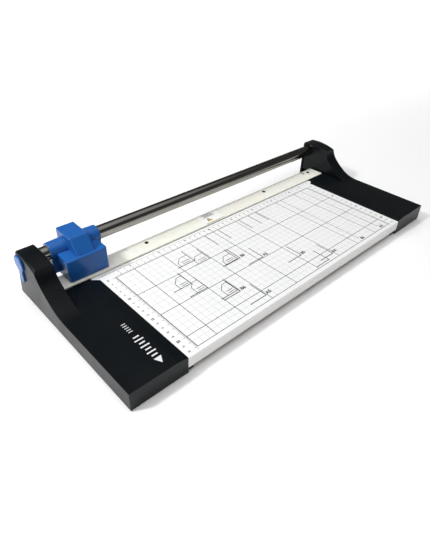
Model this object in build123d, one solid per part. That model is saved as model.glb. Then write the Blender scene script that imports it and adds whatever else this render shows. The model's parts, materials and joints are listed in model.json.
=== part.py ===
from build123d import *
import os

# Rotary paper trimmer, in millimetres. +X runs along the cut, +Z is up and the front faces -Y.
# The origin is on the table, under the middle of the whole object.

# Overall layout
CUT_LENGTH = 460.0          # between the inner edges of the two end caps
BOARD_DEPTH = 226.0         # from the cutting line to the board's front edge
CAP_WIDTH = 79.0            # each end cap, along X
CAP_FRONT = 226.0           # from the cutting line to the caps' front face
CAP_REAR = 38.0             # from the cutting line back to the caps' rearmost edge
CUT_Y = (CAP_FRONT - CAP_REAR) / 2
BOARD_TOP = 24.5            # height of the printed surface above the table
CUT_HALF = CUT_LENGTH / 2
CAP_OUTER_X = CUT_HALF + CAP_WIDTH
SIDES = (("left", -1), ("right", 1))

# Board and its films
FILM = 0.3
CORE_THICKNESS = 15.5
CORE_HALF = CUT_HALF + 8.0  # the board's ends sit in the caps
FRONT_BAND = 2.5
REAR_BAND = 1.0
CORE_TOP = BOARD_TOP - FILM
CORE_BOTTOM = CORE_TOP - CORE_THICKNESS

# Bed knife along the cutting line
KNIFE_WIDTH = 22.0
KNIFE_THICKNESS = 3.0
KNIFE_HALF = 281.0
KNIFE_SCREW_X = (30.0, 85.0, 190.0, 236.0)
KNIFE_SCREW_Y = CUT_Y - 17.0
KNIFE_SCREW_RADIUS = 1.5
KNIFE_SCREW_GRIP = 6.0      # how far each screw goes into the board

# Clamp strip on its four spring pins
STRIP_HALF = 281.0
STRIP_FRONT = 30.0
STRIP_REAR = 0.3
STRIP_TOP = BOARD_TOP + 3.2
STRIP_THICKNESS = 1.8
STRIP_LIP = 2.0
PIN_X = (131.0, 261.0)
PIN_Y = CUT_Y - 10.0
PIN_RADIUS = 1.5
PIN_HEAD_RADIUS = 3.0
SPRING_RADIUS = 2.4
SPRING_WIRE = 0.6
SPRING_TURNS = 5
SPRING_FLOOR = BOARD_TOP - 6.0
SPRING_HOLE = 3.2
CLIP_POCKET = 4.0

# End caps and towers
WALL = 2.5
CAP_TOP = BOARD_TOP + 3.3
CAP_BOTTOM = 1.2
CAP_FLAT_REAR = 34.0        # the flat part stops here, in front of the strip
CAP_EDGE_TOP = BOARD_TOP + 1.0
CAP_SLOPE = 14.0            # width of the slope down to the board
TOWER_INNER_X = CUT_HALF + 53.5
TOWER_FRONT = 29.0          # front top edge, ahead of the cutting line
TOWER_FOOT = 92.0           # where the concave front meets the flat
TOWER_TOP = BOARD_TOP + 46.5
TOWER_CROWN = BOARD_TOP + 51.7
TOWER_BACK = 26.0           # the upright rear face, behind the cutting line
TOWER_REAR_INNER = 25.0     # rear of the inner rim; the rear face slants out from here
TOWER_ROUND_OUTER = 3.5
TOWER_ROUND_INNER = 1.8
SHELF_TOP = BOARD_TOP - KNIFE_THICKNESS
SHELF_UNDER = SHELF_TOP - 6.0
SHELF_REAR = CUT_Y - 0.5
CAP_CEILING = BOARD_TOP - 1.5
CHEEK = 2.5
CHEEK_RECESS = 2.0
COVER_THICKNESS = 2.0
COVER_LIP = 10.0            # the covers reach this far in under the board
COVER_SCREW = 12.0
BOARD_SCREW_RADIUS = 1.6
BOARD_SCREW_GRIP = 8.0
LUG_X = CUT_HALF + 5.5
LUG_TOP = CORE_BOTTOM - 0.1
LUG_UNDER = LUG_TOP - 2.4
FOOT_RADIUS = 7.0

# Guide rod
ROD_Y = CUT_Y + 14.0
ROD_Z = BOARD_TOP + 36.0
ROD_RADIUS = 10.0
ROD_HALF = 300.0
ROD_BORE = 5.05
ROD_BORE_DEPTH = 14.0
SHAFT_RADIUS = 5.0
SHAFT_SEAT = 1.4
SOCKET_WALL = 1.8

# Lock lever and rod cap on the outer sides
HUB_RADIUS = 11.8
HUB_THICKNESS = 2.4
HUB_GAP = 0.3
TAIL_LENGTH = 29.5
TAIL_WIDTH = 10.0
ROD_CAP_RADIUS = 9.0
ROD_SCREW_HEAD = 1.4

# Cutting head, parked at the left end
HEAD_X = -(CUT_HALF + 4.5)
HEAD_WALL = 2.5
BOX_HALF = 29.5
BOX_FRONT = 26.0
BOX_BOTTOM = BOARD_TOP + 4.6
BOX_TOP = BOARD_TOP + 37.0
COLLAR_HALF = 37.0
COLLAR_RADIUS = 14.0
COLLAR_END_RADIUS = 13.0
SKIRT_HALF = 11.0
SKIRT_BOTTOM = BOARD_TOP + 7.0
RAMP_HALF = 13.4
RAMP_TOP = BOARD_TOP + 57.5
RAMP_KNEE = 7.5
RAMP_FOOT = 24.0
HEAD_BACK = 29.5
BUSH_RADIUS = 11.4
BUSH_LENGTH = 12.0
RUNNING_GAP = 0.05
HEAD_SCREW_RADIUS = 1.4
HEAD_SCREW_REACH = 9.0

# Blade, just behind the knife's edge
BLADE_RADIUS = 14.0
BLADE_THICKNESS = 0.4
BLADE_GAP = 0.3
BLADE_Z = BOARD_TOP - 1.5 + BLADE_RADIUS
BLADE_NECK = 2.5
BLADE_HUB_RADIUS = 5.0
BLADE_HUB_LENGTH = 6.0
AXLE_RADIUS = 1.5

# Rollers that press the strip
ROLLER_RADIUS = 4.5
ROLLER_WIDTH = 6.0
ROLLER_X = 21.0
ROLLER_Y = CUT_Y - 17.0
ROLLER_Z = STRIP_TOP + 0.3 + ROLLER_RADIUS


def block(x0, x1, y0, y1, z0, z1):
    """Box between two corners."""
    size = (abs(x1 - x0), abs(y1 - y0), abs(z1 - z0))
    centre = ((x0 + x1) / 2, (y0 + y1) / 2, (z0 + z1) / 2)
    return Pos(*centre) * Box(*size)


def rod_along_x(radius, x0, x1, y, z):
    """Cylinder along X between x0 and x1."""
    return Pos((x0 + x1) / 2, y, z) * Rot(0, 90, 0) * Cylinder(radius, abs(x1 - x0))


def rod_along_y(radius, y0, y1, x, z):
    """Cylinder along Y between y0 and y1."""
    return Pos(x, (y0 + y1) / 2, z) * Rot(90, 0, 0) * Cylinder(radius, abs(y1 - y0))


def rod_along_z(radius, z0, z1, x, y):
    """Cylinder along Z between z0 and z1."""
    return Pos(x, y, (z0 + z1) / 2) * Cylinder(radius, abs(z1 - z0))


def screw_up(x, y, z, length, head_radius=3.0, shank_radius=1.5):
    """Cross-recessed screw driven upwards, with its head's face at z."""
    head = Pos(x, y, z + 0.9) * Cone(head_radius, shank_radius, 1.8)
    shank = rod_along_z(shank_radius, z + 1.8, z + length, x, y)
    recess = block(x - 1.6, x + 1.6, y - 0.3, y + 0.3, z, z + 0.7)
    recess += block(x - 0.3, x + 0.3, y - 1.6, y + 1.6, z, z + 0.7)
    return head + shank - recess


def extrude_along_x(face, x0, x1):
    """Solid from a face drawn with (Y, Z) as its own axes, between x0 and x1."""
    plane = Plane(origin=(x0, 0, 0), x_dir=(0, 1, 0), z_dir=(1, 0, 0))
    return extrude(plane * face, amount=x1 - x0)


def mirrored(solid, side):
    """The right-hand solid for side 1, its mirror image for side -1."""
    if side > 0:
        return solid
    return mirror(solid, about=Plane.YZ)


# ---------------------------------------------------------------- board

def base_board():
    front = CUT_Y - BOARD_DEPTH + FRONT_BAND
    core = block(-CORE_HALF, CORE_HALF, front, CUT_Y - REAR_BAND, CORE_BOTTOM, CORE_TOP)
    rebate_front = CUT_Y - KNIFE_WIDTH - 0.2
    core -= block(-CORE_HALF - 1, CORE_HALF + 1, rebate_front, CUT_Y + 1, SHELF_TOP, CORE_TOP + 1)
    for x in (-PIN_X[0], PIN_X[0]):
        core -= rod_along_z(SPRING_HOLE, SPRING_FLOOR, CORE_TOP, x, PIN_Y)
        core -= rod_along_z(PIN_RADIUS + 0.2, CORE_BOTTOM, CORE_TOP, x, PIN_Y)
        core -= rod_along_z(5.0, CORE_BOTTOM, CORE_BOTTOM + CLIP_POCKET, x, PIN_Y)
    for x in knife_screw_places():
        core -= rod_along_z(KNIFE_SCREW_RADIUS, SHELF_TOP - KNIFE_SCREW_GRIP, SHELF_TOP, x, KNIFE_SCREW_Y)
    for place in board_screw_places():
        for x, y in both_sides(place):
            core -= rod_along_z(BOARD_SCREW_RADIUS, CORE_BOTTOM, CORE_BOTTOM + BOARD_SCREW_GRIP, x, y)
    return core


def printed_sheet():
    """Film over the board; behind the front band its ends run under the caps."""
    half = CUT_HALF - 0.05
    front = CUT_Y - BOARD_DEPTH
    rear = CUT_Y - KNIFE_WIDTH - 0.3
    sheet = block(-half, half, front, rear, CORE_TOP, BOARD_TOP)
    return sheet + block(-CORE_HALF, CORE_HALF, front + FRONT_BAND, rear, CORE_TOP, BOARD_TOP)


def front_edge_band():
    """Band between the caps, flush with their front faces."""
    half = CUT_HALF - 0.05
    front = CUT_Y - BOARD_DEPTH
    return block(-half, half, front, front + FRONT_BAND, CORE_BOTTOM, CORE_TOP)


def rear_edge_band():
    return block(-CORE_HALF, CORE_HALF, CUT_Y - REAR_BAND, CUT_Y, CORE_BOTTOM, SHELF_TOP)


def knife_screw_places():
    return [side * x for x in KNIFE_SCREW_X for side in (-1, 1)]


def bed_knife():
    knife = block(-KNIFE_HALF, KNIFE_HALF, CUT_Y - KNIFE_WIDTH, CUT_Y, SHELF_TOP, BOARD_TOP)
    knife = chamfer(knife.edges().group_by(Axis.Z)[-1].group_by(Axis.Y)[0], 0.6)
    for x in PIN_X:
        for side in (-1, 1):
            knife -= rod_along_z(SPRING_HOLE, SHELF_TOP - 1, BOARD_TOP + 1, side * x, PIN_Y)
    for x in knife_screw_places():
        knife -= Pos(x, KNIFE_SCREW_Y, BOARD_TOP - 0.9) * Cone(1.6, 3.1, 1.8)
        knife -= rod_along_z(1.6, SHELF_TOP - 1, BOARD_TOP, x, KNIFE_SCREW_Y)
    return knife


def knife_screws():
    screws = []
    for x in knife_screw_places():
        top = BOARD_TOP - 0.1
        head = Pos(x, KNIFE_SCREW_Y, top - 0.85) * Cone(KNIFE_SCREW_RADIUS, 2.9, 1.7)
        shank = rod_along_z(KNIFE_SCREW_RADIUS, SHELF_TOP - KNIFE_SCREW_GRIP, top - 1.7, x, KNIFE_SCREW_Y)
        slot = block(x - 2.0, x + 2.0, KNIFE_SCREW_Y - 0.35, KNIFE_SCREW_Y + 0.35, top - 0.6, top)
        screws.append(head + shank - slot)
    return Compound(children=screws)


# ---------------------------------------------------------------- clamp strip

def clamp_strip():
    rear = CUT_Y - STRIP_REAR
    front = CUT_Y - STRIP_FRONT
    under = STRIP_TOP - STRIP_THICKNESS
    strip = block(-STRIP_HALF, STRIP_HALF, front, rear, under, STRIP_TOP)
    lip_z = BOARD_TOP + 1.2
    strip += block(-STRIP_HALF, STRIP_HALF, front, front + STRIP_LIP, lip_z, under + 0.1)
    strip = fillet(strip.edges().filter_by(Axis.X).group_by(Axis.Z)[-1], 0.7)
    for side in (-1, 1):
        for x in PIN_X:
            strip -= rod_along_z(PIN_RADIUS, under - 1, STRIP_TOP + 1, side * x, PIN_Y)
        window = block(side * 247.5, side * 252.5, CUT_Y - 11.0, CUT_Y - 3.0, under - 1, STRIP_TOP + 1)
        strip -= window
    return strip


def pin_places():
    return [(side * x, PIN_Y) for x in PIN_X for side in (-1, 1)]


def clip_top(x):
    """Ceiling that a pin's clip is stopped by, under the board or under a cap's shelf."""
    if abs(x) < CORE_HALF:
        return CORE_BOTTOM + CLIP_POCKET
    return SHELF_UNDER


def guide_pins():
    pins = []
    for x, y in pin_places():
        head = rod_along_z(PIN_HEAD_RADIUS, STRIP_TOP, STRIP_TOP + 1.0, x, y)
        head = fillet(head.edges().group_by(Axis.Z)[-1], 0.7)
        pins.append(head + rod_along_z(PIN_RADIUS, clip_top(x) - 2.0, STRIP_TOP, x, y))
    return Compound(children=pins)


def pin_clips():
    clips = []
    for x, y in pin_places():
        top = clip_top(x) - 0.1
        clip = rod_along_z(3.4, top - 0.8, top, x, y) - rod_along_z(PIN_RADIUS, top - 1, top + 1, x, y)
        clips.append(clip)
    return Compound(children=clips)


def clamp_springs():
    """Open coils between the floor of each spring hole and the strip."""
    height = STRIP_TOP - STRIP_THICKNESS - SPRING_FLOOR - SPRING_WIRE - 0.1
    springs = []
    for x, y in pin_places():
        path = Helix(pitch=height / SPRING_TURNS, height=height, radius=SPRING_RADIUS)
        start = path @ 0
        profile = Plane(origin=start, z_dir=path % 0) * Circle(SPRING_WIRE / 2)
        coil = sweep(profile, path=path, is_frenet=True)
        springs.append(Pos(x, y, SPRING_FLOOR + SPRING_WIRE / 2 + 0.05) * coil)
    return Compound(children=springs)


def strip_label():
    """Thin sticker across the strip, just clear of the pins."""
    return block(-26.0, 15.0, CUT_Y - STRIP_FRONT + 0.8, CUT_Y - 0.6, STRIP_TOP, STRIP_TOP + 0.15)


# ---------------------------------------------------------------- end caps

def tower_face(inset=0.0):
    """Side view of an end cap's outer part: low flat, concave rise, crowned tower."""
    flat = CAP_TOP - inset
    front = CUT_Y - CAP_FRONT + inset
    bottom = CAP_BOTTOM
    foot = (CUT_Y - TOWER_FOOT, flat)
    brow = (CUT_Y - TOWER_FRONT + inset, TOWER_TOP - inset)
    middle = (CUT_Y - 46.5 + 0.8 * inset, BOARD_TOP + 21.5 - 0.6 * inset)
    crown = (CUT_Y + 7.0, TOWER_CROWN - inset)
    shoulder = (CUT_Y + TOWER_BACK - 6.0 - inset, TOWER_CROWN - 1.0 - inset)
    back_top = (CUT_Y + TOWER_BACK - inset, TOWER_CROWN - 7.0 - inset)
    back_low = (CUT_Y + TOWER_BACK - inset, BOARD_TOP + 20.5)
    heel = (CUT_Y + CAP_REAR - inset, bottom)
    low_front = (front, bottom)
    high_front = (front, flat)
    rise = Spline(foot, middle, brow, tangents=((1, 0), (0.18, 1)))
    roof = ThreePointArc(brow, crown, shoulder)
    corner = ThreePointArc(shoulder, (back_top[0] - 1.9, TOWER_CROWN - 2.7 - inset), back_top)
    outline = [
        Line(low_front, high_front),
        Line(high_front, foot),
        rise,
        roof,
        corner,
        Line(back_top, back_low),
        Line(back_low, heel),
        Line(heel, low_front),
    ]
    return make_face(Wire(outline))


def rear_y(x, inset=0.0):
    """Y of the tower's slanted rear face at the distance x from the middle."""
    slant = (CAP_REAR - TOWER_REAR_INNER) / (CAP_OUTER_X - TOWER_INNER_X)
    return CUT_Y + TOWER_REAR_INNER + slant * (x - TOWER_INNER_X) - inset


def tower_body(inset, x0, x1):
    """Side view carried along X, with the slanted rear face cut off it."""
    body = extrude_along_x(tower_face(inset), x0, x1)
    behind = make_face(Polyline(
        (x0, rear_y(x0, inset)),
        (x1, rear_y(x1, inset)),
        (x1, CUT_Y + 60),
        (x0, CUT_Y + 60),
        close=True,
    ))
    return body - extrude(behind, amount=TOWER_CROWN + 10)


def cap_flat_outer():
    """Flat part of the right cap, with its slope and its cut inner rear corner."""
    front = CUT_Y - CAP_FRONT
    rear = CUT_Y - CAP_FLAT_REAR
    plan = make_face(Polyline(
        (TOWER_INNER_X + 1, front),
        (CUT_HALF, front),
        (CUT_HALF, rear - 7.0),
        (CUT_HALF + 12.0, rear),
        (TOWER_INNER_X + 1, rear),
        close=True,
    ))
    solid = extrude(Pos(0, 0, CAP_BOTTOM) * plan, amount=CAP_TOP - CAP_BOTTOM)
    slope = make_face(Polyline(
        (CUT_HALF - 1, CAP_EDGE_TOP - (CAP_TOP - CAP_EDGE_TOP) / CAP_SLOPE),
        (CUT_HALF + CAP_SLOPE, CAP_TOP),
        (CUT_HALF - 1, CAP_TOP + 1),
        close=True,
    ))
    cutter = extrude(Plane.XZ.offset(-CUT_Y - 60) * slope, amount=400)
    return solid - cutter


def cap_outer():
    tower = tower_body(0.0, TOWER_INNER_X, CAP_OUTER_X)
    for end, radius in ((-1, TOWER_ROUND_OUTER), (0, TOWER_ROUND_INNER)):
        side_face = tower.faces().filter_by(Axis.X).sort_by(Axis.X)[end]
        upper_rim = [edge for edge in side_face.edges() if edge.center().Z > TOWER_TOP - 4]
        tower = fillet(upper_rim, radius)
    shelf_front = CUT_Y - CAP_FLAT_REAR - 1
    shelf = block(CUT_HALF, TOWER_INNER_X + 1, shelf_front, SHELF_REAR, CAP_BOTTOM, SHELF_TOP)
    return tower + cap_flat_outer() + shelf


def cap_cavity():
    """Hollow of the right cap, open at the bottom and on the tower's inner side."""
    tower = tower_body(WALL, TOWER_INNER_X - 1, CAP_OUTER_X - WALL)
    inner_x = CUT_HALF + WALL
    flat_rear = CUT_Y - CAP_FLAT_REAR - WALL
    floor = CAP_BOTTOM - 1
    tower_x = TOWER_INNER_X + 5
    low = block(inner_x, tower_x, CUT_Y - CAP_FRONT + WALL, flat_rear, floor, CAP_CEILING)
    under_shelf = block(inner_x, tower_x, flat_rear - 1, SHELF_REAR - WALL, floor, SHELF_UNDER)
    return tower + low + under_shelf


def cover_screw_places():
    """Cover screws of the right-hand side, each with the height that its boss reaches."""
    front = CUT_Y - CAP_FRONT + 12
    rear = CUT_Y - 8
    inner = CUT_HALF + 16
    outer = CAP_OUTER_X - 5.5
    return [
        (inner, front, CAP_CEILING + 0.5),
        (outer, front, CAP_CEILING + 0.5),
        (inner, rear, SHELF_UNDER + 0.5),
        (outer, rear, BOARD_TOP - 4.0),
    ]


def board_screw_places():
    """Board screws of the right-hand side, through lugs on the cap's inner wall."""
    return [(LUG_X, CUT_Y - 190.0), (LUG_X, CUT_Y - 60.0)]


def cap_bosses():
    """Screw bosses and board lugs inside the right cap."""
    low = CAP_BOTTOM + COVER_THICKNESS + 0.05
    bosses = rod_along_x(ROD_RADIUS + SOCKET_WALL, ROD_HALF - 8, CAP_OUTER_X - 1, ROD_Y, ROD_Z)
    for x, y, top in cover_screw_places():
        bosses += rod_along_z(3.5, low, top, x, y)
    for x, y in board_screw_places():
        bosses += block(CUT_HALF + 1, LUG_X + 5, y - 7, y + 7, LUG_UNDER, LUG_TOP)
    return bosses


def cap_holes():
    """Everything that is cut out of the right cap after its bosses are in."""
    front = CUT_Y - BOARD_DEPTH + FRONT_BAND - 0.1
    holes = block(CUT_HALF - 1, CORE_HALF + 0.2, front, CUT_Y + 1, LUG_TOP, BOARD_TOP + 0.1)
    cover_front = CUT_Y - CAP_FRONT + WALL
    lip_top = CAP_BOTTOM + COVER_THICKNESS + 0.05
    holes += block(CUT_HALF - 1, CUT_HALF + WALL + 1, cover_front, SHELF_REAR - WALL, CAP_BOTTOM - 1, lip_top)
    holes += rod_along_x(ROD_RADIUS + RUNNING_GAP, TOWER_INNER_X, ROD_HALF, ROD_Y, ROD_Z)
    holes += rod_along_x(ROD_BORE + 0.05, ROD_HALF - 1, CAP_OUTER_X + 1, ROD_Y, ROD_Z)
    holes += rod_along_z(SPRING_HOLE, SPRING_FLOOR, SHELF_TOP + 1, PIN_X[1], PIN_Y)
    holes += rod_along_z(PIN_RADIUS + 0.2, CAP_BOTTOM, SHELF_TOP + 1, PIN_X[1], PIN_Y)
    for x, y, top in cover_screw_places():
        holes += rod_along_z(1.5, CAP_BOTTOM, CAP_BOTTOM + COVER_SCREW, x, y)
    for x, y in board_screw_places():
        holes += rod_along_z(1.7, CAP_BOTTOM, CORE_BOTTOM, x, y)
    return holes


def end_cap(side):
    return mirrored(cap_outer() - cap_cavity() + cap_bosses() - cap_holes(), side)


def cheek(side):
    """Plate inside the tower's rim, with a hole for the rod."""
    inner = TOWER_INNER_X + CHEEK_RECESS
    outer = inner + CHEEK
    plate = tower_body(WALL + 0.15, inner, outer)
    plate = plate & block(inner, outer, CUT_Y - 88, CUT_Y + 60, SHELF_TOP - 2.0, TOWER_CROWN)
    plate -= rod_along_x(ROD_RADIUS + 0.3, inner - 1, outer + 1, ROD_Y, ROD_Z)
    return mirrored(plate, side)


def bottom_cover(side):
    """Flat L-shaped cover that reaches a little way in under the board."""
    front = CUT_Y - CAP_FRONT + WALL + 0.2
    outer = CAP_OUTER_X - WALL - 0.2
    tower_inner = TOWER_INNER_X + 0.5
    inner = CUT_HALF - COVER_LIP
    shelf_rear = SHELF_REAR - WALL - 0.2
    plan = make_face(Polyline(
        (inner, front),
        (outer, front),
        (outer, rear_y(outer, WALL + 0.2)),
        (tower_inner, rear_y(tower_inner, WALL + 0.2)),
        (tower_inner, shelf_rear),
        (inner, shelf_rear),
        close=True,
    ))
    cover = extrude(Pos(0, 0, CAP_BOTTOM) * plan, amount=COVER_THICKNESS)
    for x, y, top in cover_screw_places():
        cover -= Pos(x, y, CAP_BOTTOM + 0.9) * Cone(3.1, 1.6, 1.8)
        cover -= rod_along_z(1.6, CAP_BOTTOM, CAP_BOTTOM + COVER_THICKNESS + 1, x, y)
    for x, y in foot_places():
        cover -= rod_along_z(1.6, CAP_BOTTOM - 1, CAP_BOTTOM + COVER_THICKNESS + 1, x, y)
    return mirrored(cover, side)


def both_sides(place):
    """A right-hand place and its mirror image."""
    x, *rest = place
    return [(x, *rest), (-x, *rest)]


def cover_screws():
    screws = []
    for place in cover_screw_places():
        for x, y, top in both_sides(place):
            screws.append(screw_up(x, y, CAP_BOTTOM + 0.05, COVER_SCREW - 0.5))
    return Compound(children=screws)


def board_screws():
    screws = []
    for place in board_screw_places():
        for x, y in both_sides(place):
            face = LUG_UNDER - 1.6
            head = rod_along_z(2.8, face, LUG_UNDER, x, y)
            shank = rod_along_z(BOARD_SCREW_RADIUS, LUG_UNDER, CORE_BOTTOM + BOARD_SCREW_GRIP, x, y)
            slot = block(x - 2.0, x + 2.0, y - 0.4, y + 0.4, face, face + 0.7)
            screws.append(head + shank - slot)
    return Compound(children=screws)


def foot_places():
    """Feet of the right-hand side."""
    return [(CAP_OUTER_X - 32.0, CUT_Y - CAP_FRONT + 20.0), (CAP_OUTER_X - 13.0, CUT_Y + 14.0)]


def rubber_feet():
    """Pads with a barb that snaps through the cover."""
    feet = []
    for place in foot_places():
        for x, y in both_sides(place):
            pad = rod_along_z(FOOT_RADIUS, 0, CAP_BOTTOM, x, y)
            pad = fillet(pad.edges().group_by(Axis.Z)[0], 0.5)
            stem_top = CAP_BOTTOM + COVER_THICKNESS + 0.05
            stem = rod_along_z(1.5, CAP_BOTTOM, stem_top, x, y)
            barb = Pos(x, y, stem_top + 0.8) * Cone(2.4, 1.0, 1.6)
            feet.append(pad + stem + barb)
    return Compound(children=feet)


# ---------------------------------------------------------------- rod and its ends

def guide_rod():
    rod = rod_along_x(ROD_RADIUS, -ROD_HALF, ROD_HALF, ROD_Y, ROD_Z)
    rod = chamfer(rod.edges().filter_by(GeomType.CIRCLE), 0.6)
    for side in (-1, 1):
        rod -= rod_along_x(ROD_BORE, side * (ROD_HALF - ROD_BORE_DEPTH), side * (ROD_HALF + 1), ROD_Y, ROD_Z)
    return rod


def hub(radius, x0, x1):
    """Round disc on the rod's axis, with its outer rim softened."""
    disc = rod_along_x(radius, x0, x1, ROD_Y, ROD_Z)
    outer_end = disc.edges().filter_by(GeomType.CIRCLE).sort_by(lambda edge: abs(edge.center().X))[-1]
    return fillet(outer_end, 1.0)


def lock_lever():
    """Hub with a tail that hangs straight down."""
    inner = -(CAP_OUTER_X + HUB_GAP)
    outer = inner - HUB_THICKNESS
    root = TAIL_WIDTH / 2 + 1.0
    tip = TAIL_WIDTH / 2 - 0.5
    tip_z = ROD_Z - TAIL_LENGTH + tip
    tail_face = make_face(Wire([
        Line((ROD_Y - root, ROD_Z), (ROD_Y - tip, tip_z)),
        ThreePointArc((ROD_Y - tip, tip_z), (ROD_Y, tip_z - tip), (ROD_Y + tip, tip_z)),
        Line((ROD_Y + tip, tip_z), (ROD_Y + root, ROD_Z)),
        Line((ROD_Y + root, ROD_Z), (ROD_Y - root, ROD_Z)),
    ]))
    tail = extrude_along_x(tail_face, outer + 0.3, inner)
    tail = fillet(tail.faces().sort_by(Axis.X)[0].edges().sort_by(Axis.Z)[:-1], 0.8)
    lever = hub(HUB_RADIUS, inner, outer) + tail
    return lever - rod_along_x(SHAFT_RADIUS, inner + 1, inner - SHAFT_SEAT, ROD_Y, ROD_Z)


def lever_shaft():
    start = -(CAP_OUTER_X + HUB_GAP + SHAFT_SEAT)
    shaft = rod_along_x(SHAFT_RADIUS, start, -(ROD_HALF - ROD_BORE_DEPTH + 2), ROD_Y, ROD_Z)
    inner_end = shaft.edges().filter_by(GeomType.CIRCLE).sort_by(Axis.X)[-1]
    return chamfer(inner_end, 0.8)


def rod_screw():
    shank = rod_along_x(SHAFT_RADIUS - 0.05, ROD_HALF - ROD_BORE_DEPTH + 2, CAP_OUTER_X, ROD_Y, ROD_Z)
    head = rod_along_x(6.5, CAP_OUTER_X, CAP_OUTER_X + ROD_SCREW_HEAD, ROD_Y, ROD_Z)
    hexagon = extrude_along_x(Pos(ROD_Y, ROD_Z) * RegularPolygon(2.9, 6), CAP_OUTER_X - 1.5, CAP_OUTER_X + 2)
    return shank + head - hexagon


def right_rod_cap():
    """Shallow cup over the head of the rod's screw."""
    inner = CAP_OUTER_X + 0.05
    outer = CAP_OUTER_X + HUB_GAP + HUB_THICKNESS
    room = rod_along_x(7.0, inner - 1, CAP_OUTER_X + ROD_SCREW_HEAD + 0.2, ROD_Y, ROD_Z)
    return hub(ROD_CAP_RADIUS, inner, outer) - room


# ---------------------------------------------------------------- cutting head

def ramp_face(inset=0.0):
    """Side view of the ramp that runs from the head's top down to its front box."""
    back = CUT_Y + HEAD_BACK - inset
    return make_face(Polyline(
        (back, BOX_TOP - 12.0 + inset),
        (back, RAMP_TOP - inset),
        (CUT_Y - RAMP_KNEE + 0.5 * inset, RAMP_TOP - inset),
        (CUT_Y - RAMP_FOOT + inset, BOX_TOP - 0.6),
        (CUT_Y - RAMP_FOOT + inset, BOX_TOP - 12.0 + inset),
        close=True,
    ))


def head_box():
    box = block(HEAD_X - BOX_HALF, HEAD_X + BOX_HALF, CUT_Y - BOX_FRONT, CUT_Y + 6.0, BOX_BOTTOM, BOX_TOP)
    upright_front = box.edges().filter_by(Axis.Z).group_by(Axis.Y)[0]
    box = fillet(upright_front, 3.6)
    return fillet(box.faces().sort_by(Axis.Z)[-1].edges(), 2.0)


def head_ramp():
    ramp = extrude_along_x(ramp_face(), HEAD_X - RAMP_HALF, HEAD_X + RAMP_HALF)
    rims = ramp.faces().filter_by(Axis.X).edges().group_by(Axis.Z)
    top_edges = [edge for group in rims[-2:] for edge in group]
    ramp = fillet(top_edges, 2.0)
    knee = ramp.edges().filter_by(Axis.X).group_by(Axis.Z)[-1].sort_by(Axis.Y)[0]
    return fillet(knee, 2.5)


def head_collar(side):
    """Tapered sleeve on one side of the ramp, round the rod."""
    length = COLLAR_HALF - RAMP_HALF + 3.0
    cone = Cone(COLLAR_RADIUS, COLLAR_END_RADIUS, length)
    middle = HEAD_X + side * (COLLAR_HALF - length / 2)
    cone = Pos(middle, ROD_Y, ROD_Z) * Rot(0, 90 * side, 0) * cone
    rim = cone.edges().filter_by(GeomType.CIRCLE).sort_by(lambda edge: edge.radius)[0]
    return fillet(rim, 1.4)


def head_outer():
    skirt = block(HEAD_X - COLLAR_HALF, HEAD_X + COLLAR_HALF, ROD_Y - SKIRT_HALF, ROD_Y + SKIRT_HALF,
                  SKIRT_BOTTOM, ROD_Z)
    skirt = fillet(skirt.edges().filter_by(Axis.Z), 1.2)
    return head_box() + skirt + head_ramp() + head_collar(-1) + head_collar(1)


def head_cavity():
    """Hollow of the head, less the two seats that hold the bushings."""
    wall = HEAD_WALL
    box = block(HEAD_X - BOX_HALF + wall, HEAD_X + BOX_HALF - wall, CUT_Y - BOX_FRONT + wall, CUT_Y + 8.0,
                BOX_BOTTOM - 1, BOX_TOP - wall)
    skirt_half = SKIRT_HALF - wall
    skirt = block(HEAD_X - COLLAR_HALF + wall, HEAD_X + COLLAR_HALF - wall, ROD_Y - skirt_half,
                  ROD_Y + skirt_half, SKIRT_BOTTOM + wall, ROD_Z)
    ramp = extrude_along_x(ramp_face(wall), HEAD_X - RAMP_HALF + wall, HEAD_X + RAMP_HALF - wall)
    hollow = box + skirt + ramp
    for side in (-1, 1):
        seat_inner = HEAD_X + side * (COLLAR_HALF - BUSH_LENGTH - 2.0)
        hollow -= rod_along_x(COLLAR_END_RADIUS, seat_inner, HEAD_X + side * (COLLAR_HALF + 1), ROD_Y, ROD_Z)
    return hollow


def head_bore():
    """Room for the rod and for the two bushings."""
    bore = rod_along_x(ROD_RADIUS + 0.6, HEAD_X - COLLAR_HALF - 1, HEAD_X + COLLAR_HALF + 1, ROD_Y, ROD_Z)
    for side in (-1, 1):
        inner = HEAD_X + side * (COLLAR_HALF - BUSH_LENGTH)
        outer = HEAD_X + side * (COLLAR_HALF + 1)
        bore += rod_along_x(BUSH_RADIUS + RUNNING_GAP, inner, outer, ROD_Y, ROD_Z)
    return bore


def head_screw_places():
    """(X, Z, Y of the rear surface) of each screw that joins the two shells."""
    skirt_rear = ROD_Y + SKIRT_HALF
    ramp_rear = CUT_Y + HEAD_BACK
    places = []
    for side in (-1, 1):
        places.append((HEAD_X + side * 30.5, SKIRT_BOTTOM + 7.0, skirt_rear))
        places.append((HEAD_X + side * 8.0, RAMP_TOP - 6.0, ramp_rear))
    return places


def head_bosses():
    bosses = None
    for x, z, rear in head_screw_places():
        boss = rod_along_y(3.0, ROD_Y - HEAD_SCREW_REACH, rear - 1, x, z)
        bosses = boss if bosses is None else bosses + boss
    axle_boss = rod_along_y(3.5, CUT_Y - BOX_FRONT + 1, CUT_Y - 1.2, HEAD_X, BLADE_Z)
    axle_boss += rod_along_y(3.5, ROD_Y, ROD_Y + SKIRT_HALF - 1.0, HEAD_X, BLADE_Z)
    return bosses + axle_boss


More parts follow.
